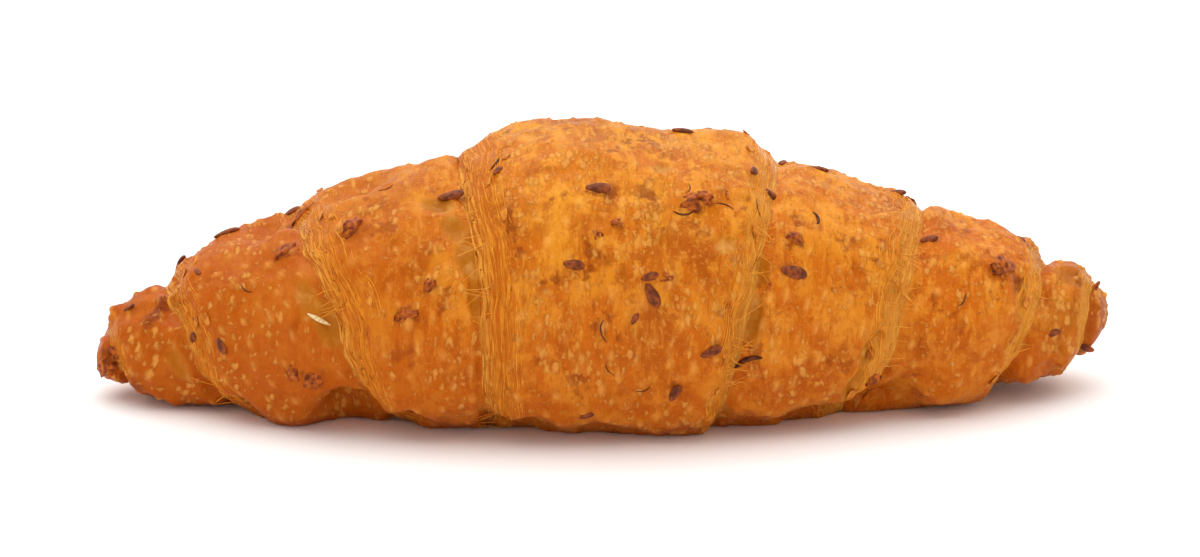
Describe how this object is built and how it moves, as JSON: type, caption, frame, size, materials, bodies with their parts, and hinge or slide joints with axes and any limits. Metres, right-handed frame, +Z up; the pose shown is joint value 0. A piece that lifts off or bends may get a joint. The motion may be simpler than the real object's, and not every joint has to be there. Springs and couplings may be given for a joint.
{
  "type": "croissant",
  "caption": "Straight baked croissant of rolled, laminated dough with spiral seams, tapering to a nub at each end and flat underneath.",
  "frame": {"origin": "centre of the bottom face of the bounding box, on the surface that the flat baked base rests on", "axes": "+X along the roll towards the upturned horn, +Y towards the back, +Z up"},
  "size_m": [0.18, 0.0694, 0.0503],
  "materials": {
    "crust": "golden brown baked crust of laminated dough, satin where it is smooth, matt where its layers show",
    "linseed": "dark brown whole linseed and grain, satin, baked into the crust"
  },
  "bodies": {
    "root": {"croissant": "crust"}
  },
  "joints": []
}
